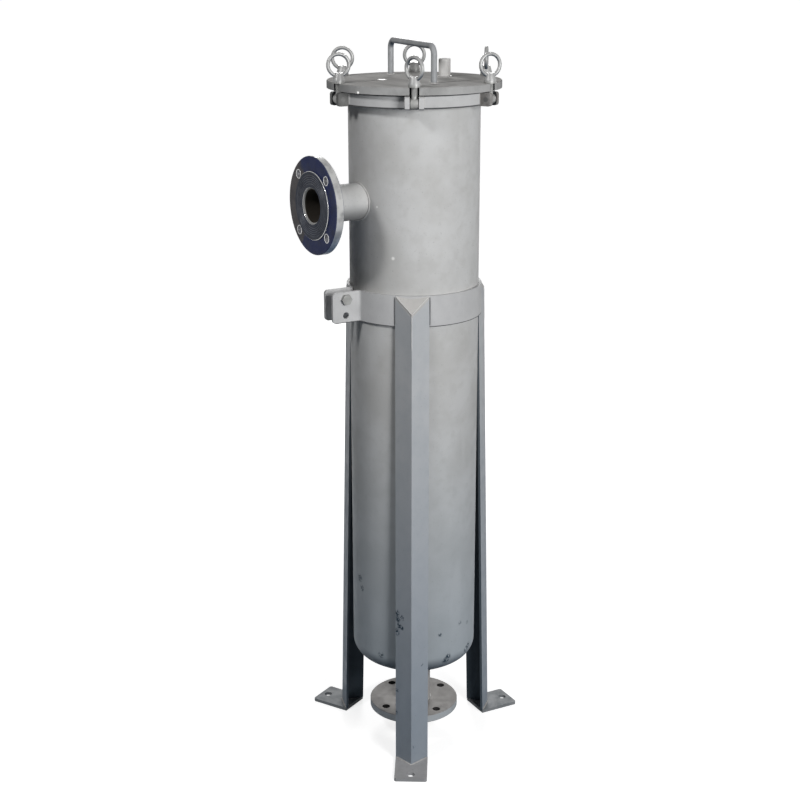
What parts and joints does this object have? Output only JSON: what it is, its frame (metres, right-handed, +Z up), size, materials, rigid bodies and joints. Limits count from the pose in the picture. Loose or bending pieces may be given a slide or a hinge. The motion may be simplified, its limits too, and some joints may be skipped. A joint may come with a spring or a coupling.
{
  "type": "bag filter housing",
  "caption": "Upright bag filter vessel with a bolted flat lid, side inlet flange and bottom outlet flange, held in a clamped three-legged angle stand.",
  "frame": {"origin": "on the floor under the vessel's axis, the centre of the circle of the three anchor holes", "axes": "+Z up along the vessel's axis, -X out of the inlet flange"},
  "size_m": [0.4036, 0.3834, 1.2427],
  "materials": {
    "blasted_steel": "satin",
    "stand_steel": "satin",
    "plate_steel": "satin",
    "machined_steel": "satin",
    "bar_steel": "satin",
    "fastener_steel": "satin",
    "eye_nut_steel": "satin",
    "basket_steel": "satin",
    "seal_rubber": "matte",
    "bag_felt": "matte",
    "ring_plastic": "matte"
  },
  "bodies": {
    "stand": {"clamp_band": "stand_steel", "leg_back_left": "stand_steel", "leg_front": "stand_steel", "leg_right": "stand_steel", "leg_cap_back_left": "stand_steel", "leg_cap_front": "stand_steel", "leg_cap_right": "stand_steel", "foot_plate_back_left": "plate_steel", "foot_plate_front": "plate_steel", "foot_plate_right": "plate_steel", "clamp_bolt": "fastener_steel", "clamp_nut": "fastener_steel"},
    "vessel": {"vessel_shell": "blasted_steel", "bottom_head": "blasted_steel", "closure_collar": "blasted_steel", "bolt_lug_1": "blasted_steel", "bolt_lug_2": "blasted_steel", "bolt_lug_3": "blasted_steel", "bolt_lug_4": "blasted_steel", "bolt_lug_5": "blasted_steel", "bolt_lug_6": "blasted_steel", "lug_pins": "fastener_steel", "inlet_pipe": "blasted_steel", "inlet_flange": "machined_steel", "outlet_pipe": "blasted_steel", "outlet_flange": "machined_steel", "basket_seat": "machined_steel", "lid_seal": "seal_rubber", "lid": "blasted_steel", "lid_handle": "bar_steel", "vent_socket": "machined_steel"},
    "basket": {"basket_tube": "basket_steel", "basket_rim": "basket_steel", "basket_floor": "basket_steel", "basket_bail": "basket_steel", "filter_bag": "bag_felt", "bag_ring": "ring_plastic"},
    "swing_bolt_1": {"swing_bolt_1": "fastener_steel"},
    "nut_washer_1": {"nut_washer_1": "fastener_steel"},
    "eye_nut_1": {"eye_nut_1": "eye_nut_steel"},
    "swing_bolt_2": {"swing_bolt_2": "fastener_steel"},
    "nut_washer_2": {"nut_washer_2": "fastener_steel"},
    "eye_nut_2": {"eye_nut_2": "eye_nut_steel"},
    "swing_bolt_3": {"swing_bolt_3": "fastener_steel"},
    "nut_washer_3": {"nut_washer_3": "fastener_steel"},
    "eye_nut_3": {"eye_nut_3": "eye_nut_steel"},
    "swing_bolt_4": {"swing_bolt_4": "fastener_steel"},
    "nut_washer_4": {"nut_washer_4": "fastener_steel"},
    "eye_nut_4": {"eye_nut_4": "eye_nut_steel"},
    "swing_bolt_5": {"swing_bolt_5": "fastener_steel"},
    "nut_washer_5": {"nut_washer_5": "fastener_steel"},
    "eye_nut_5": {"eye_nut_5": "eye_nut_steel"},
    "swing_bolt_6": {"swing_bolt_6": "fastener_steel"},
    "nut_washer_6": {"nut_washer_6": "fastener_steel"},
    "eye_nut_6": {"eye_nut_6": "eye_nut_steel"}
  },
  "joints": [
    {"name": "vessel_height", "type": "slide", "parent": "stand", "child": "vessel", "axis": [0, 0, 1], "range_m": [-0.03, 0.12]},
    {"name": "basket_lift", "type": "slide", "parent": "vessel", "child": "basket", "axis": [0, 0, 1], "range_m": [0, 0.14]},
    {"name": "bolt_1_swing", "type": "hinge", "parent": "vessel", "child": "swing_bolt_1", "pos_m": [0.07392, 0.1183, 1.1555], "axis": [-0.848, 0.5299, 0], "range_deg": [0, 165]},
    {"name": "nut_1_climb", "type": "slide", "parent": "swing_bolt_1", "child": "nut_washer_1", "axis": [0, 0, 1], "range_m": [0, 0.0045]},
    {"name": "nut_1_turn", "type": "hinge", "parent": "nut_washer_1", "child": "eye_nut_1", "pos_m": [0.07392, 0.1183, 1.1824], "axis": [0, 0, 1], "range_deg": [0, 1080]},
    {"name": "bolt_2_swing", "type": "hinge", "parent": "vessel", "child": "swing_bolt_2", "pos_m": [-0.06549, 0.12317, 1.1555], "axis": [-0.8829, -0.4695, 0], "range_deg": [0, 165]},
    {"name": "nut_2_climb", "type": "slide", "parent": "swing_bolt_2", "child": "nut_washer_2", "axis": [0, 0, 1], "range_m": [0, 0.0045]},
    {"name": "nut_2_turn", "type": "hinge", "parent": "nut_washer_2", "child": "eye_nut_2", "pos_m": [-0.06549, 0.12317, 1.1824], "axis": [0, 0, 1], "range_deg": [0, 1080]},
    {"name": "bolt_3_swing", "type": "hinge", "parent": "vessel", "child": "swing_bolt_3", "pos_m": [-0.13942, 0.00487, 1.1555], "axis": [-0.0349, -0.9994, 0], "range_deg": [0, 165]},
    {"name": "nut_3_climb", "type": "slide", "parent": "swing_bolt_3", "child": "nut_washer_3", "axis": [0, 0, 1], "range_m": [0, 0.0045]},
    {"name": "nut_3_turn", "type": "hinge", "parent": "nut_washer_3", "child": "eye_nut_3", "pos_m": [-0.13942, 0.00487, 1.1824], "axis": [0, 0, 1], "range_deg": [0, 1080]},
    {"name": "bolt_4_swing", "type": "hinge", "parent": "vessel", "child": "swing_bolt_4", "pos_m": [-0.07392, -0.1183, 1.1555], "axis": [0.848, -0.5299, 0], "range_deg": [0, 165]},
    {"name": "nut_4_climb", "type": "slide", "parent": "swing_bolt_4", "child": "nut_washer_4", "axis": [0, 0, 1], "range_m": [0, 0.0045]},
    {"name": "nut_4_turn", "type": "hinge", "parent": "nut_washer_4", "child": "eye_nut_4", "pos_m": [-0.07392, -0.1183, 1.1824], "axis": [0, 0, 1], "range_deg": [0, 1080]},
    {"name": "bolt_5_swing", "type": "hinge", "parent": "vessel", "child": "swing_bolt_5", "pos_m": [0.06549, -0.12317, 1.1555], "axis": [0.8829, 0.4695, 0], "range_deg": [0, 165]},
    {"name": "nut_5_climb", "type": "slide", "parent": "swing_bolt_5", "child": "nut_washer_5", "axis": [0, 0, 1], "range_m": [0, 0.0045]},
    {"name": "nut_5_turn", "type": "hinge", "parent": "nut_washer_5", "child": "eye_nut_5", "pos_m": [0.06549, -0.12317, 1.1824], "axis": [0, 0, 1], "range_deg": [0, 1080]},
    {"name": "bolt_6_swing", "type": "hinge", "parent": "vessel", "child": "swing_bolt_6", "pos_m": [0.13942, -0.00487, 1.1555], "axis": [0.0349, 0.9994, 0], "range_deg": [0, 165]},
    {"name": "nut_6_climb", "type": "slide", "parent": "swing_bolt_6", "child": "nut_washer_6", "axis": [0, 0, 1], "range_m": [0, 0.0045]},
    {"name": "nut_6_turn", "type": "hinge", "parent": "nut_washer_6", "child": "eye_nut_6", "pos_m": [0.13942, -0.00487, 1.1824], "axis": [0, 0, 1], "range_deg": [0, 1080]}
  ],
  "couplings": [
    {"joint": "nut_1_climb", "follows": "nut_1_turn", "m_per_rad": 0.00023873},
    {"joint": "nut_2_climb", "follows": "nut_2_turn", "m_per_rad": 0.00023873},
    {"joint": "nut_3_climb", "follows": "nut_3_turn", "m_per_rad": 0.00023873},
    {"joint": "nut_4_climb", "follows": "nut_4_turn", "m_per_rad": 0.00023873},
    {"joint": "nut_5_climb", "follows": "nut_5_turn", "m_per_rad": 0.00023873},
    {"joint": "nut_6_climb", "follows": "nut_6_turn", "m_per_rad": 0.00023873}
  ]
}
